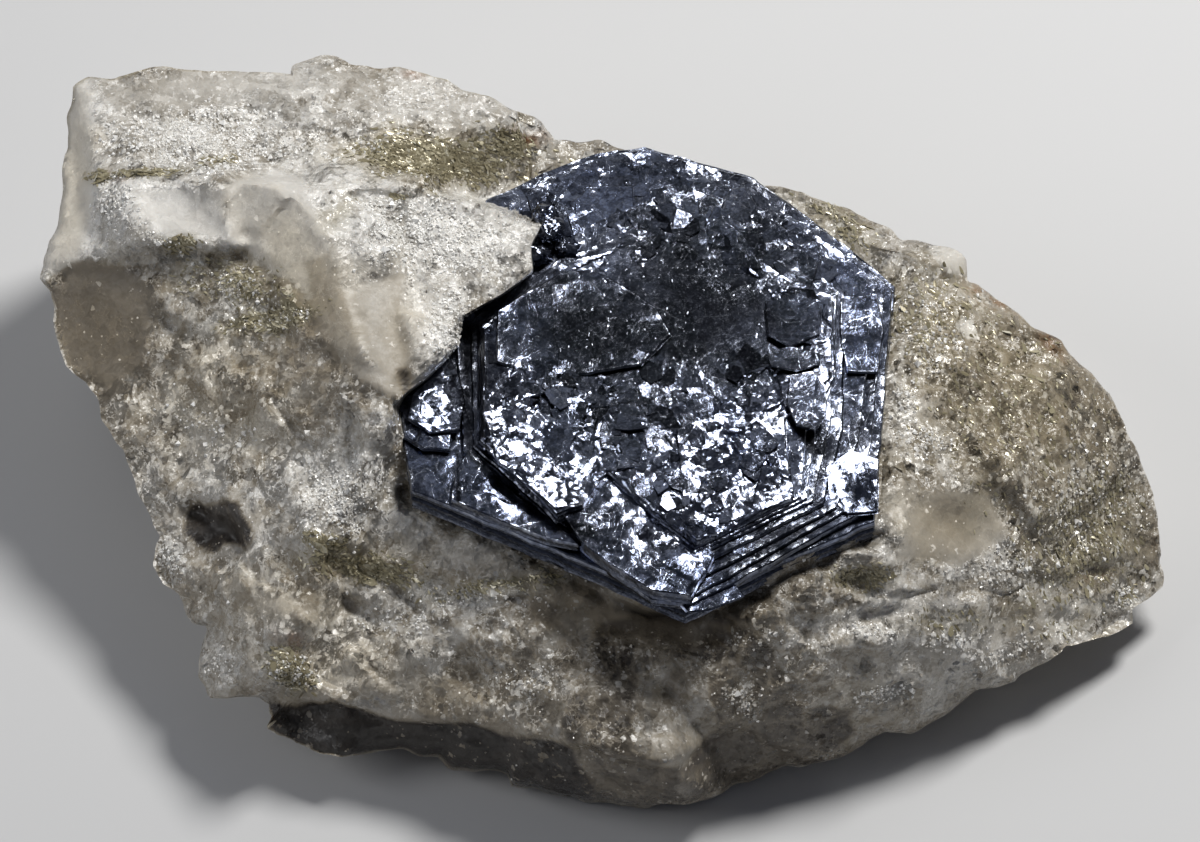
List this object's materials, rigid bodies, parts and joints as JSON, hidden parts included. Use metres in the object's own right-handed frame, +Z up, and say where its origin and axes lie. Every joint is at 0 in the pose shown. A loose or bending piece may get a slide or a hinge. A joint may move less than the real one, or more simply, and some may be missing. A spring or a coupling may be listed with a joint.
{
  "type": "mineral specimen",
  "caption": "Molybdenite crystal, tabular and six-sided, on a broken lump of quartz with muscovite.",
  "frame": {"origin": "on the flat base, under the middle of the box around the specimen", "axes": "+Z up, out of the crystal's face; +X along the lump, from its tall blunt end to its low pointed end; the view in the picture looks along +Y and down"},
  "size_m": [0.035, 0.0246, 0.0113],
  "materials": {
    "quartz": "satin",
    "molybdenite": "gloss"
  },
  "bodies": {
    "root": {"quartz_matrix": "quartz", "molybdenite_crystal": "molybdenite"}
  },
  "joints": []
}
